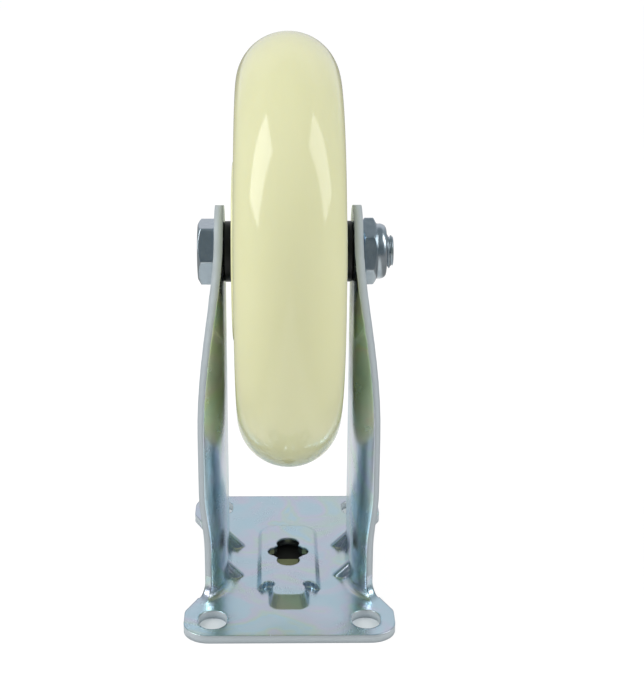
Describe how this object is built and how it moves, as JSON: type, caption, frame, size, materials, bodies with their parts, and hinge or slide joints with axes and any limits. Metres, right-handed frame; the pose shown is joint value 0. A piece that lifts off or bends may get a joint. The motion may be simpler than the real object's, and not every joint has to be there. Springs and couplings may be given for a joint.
{
  "type": "fixed castor",
  "caption": "Fixed castor with a one-piece pressed steel fork and slotted plate, and a round-tread nylon wheel on ball bearings held by an axle bolt and lock nut.",
  "frame": {"origin": "middle of the plate's mounting face", "axes": "+Z from the mounting face towards the wheel, X the rolling direction, +Y along the axle towards the nut"},
  "size_m": [0.125, 0.0614, 0.1655],
  "materials": {
    "zinc_plated_sheet": "bright zinc plate with a blue passivate, faintly iridescent",
    "cream_nylon": "glossy moulded nylon",
    "zinc_plated_fastener": "bright zinc plate",
    "white_nylon": "moulded",
    "black_plastic": "moulded",
    "plain_steel": "bright drawn steel",
    "bearing_steel": "ground and polished",
    "pressed_cage": "pressed steel"
  },
  "bodies": {
    "bracket": {"fork": "zinc_plated_sheet", "axle_bolt": "zinc_plated_fastener", "lock_nut": "zinc_plated_fastener", "nut_insert": "white_nylon", "left_spacer": "black_plastic", "right_spacer": "black_plastic", "centre_sleeve": "plain_steel", "left_inner_ring": "bearing_steel", "right_inner_ring": "bearing_steel"},
    "wheel_set": {"wheel": "cream_nylon", "left_outer_ring": "bearing_steel", "right_outer_ring": "bearing_steel", "left_outer_shield": "plain_steel", "left_inner_shield": "plain_steel", "right_outer_shield": "plain_steel", "right_inner_shield": "plain_steel"},
    "left_ball_set": {"left_balls": "bearing_steel", "left_cage": "pressed_cage"},
    "right_ball_set": {"right_balls": "bearing_steel", "right_cage": "pressed_cage"}
  },
  "joints": [
    {"name": "wheel_spin", "type": "hinge", "parent": "bracket", "child": "wheel_set", "pos_m": [0, 0, 0.103], "axis": [0, 1, 0], "continuous": true},
    {"name": "left_cage_spin", "type": "hinge", "parent": "bracket", "child": "left_ball_set", "pos_m": [0, 0, 0.103], "axis": [0, 1, 0], "continuous": true},
    {"name": "right_cage_spin", "type": "hinge", "parent": "bracket", "child": "right_ball_set", "pos_m": [0, 0, 0.103], "axis": [0, 1, 0], "continuous": true}
  ],
  "couplings": [
    {"joint": "left_cage_spin", "follows": "wheel_spin", "ratio": 0.619},
    {"joint": "right_cage_spin", "follows": "wheel_spin", "ratio": 0.619}
  ]
}
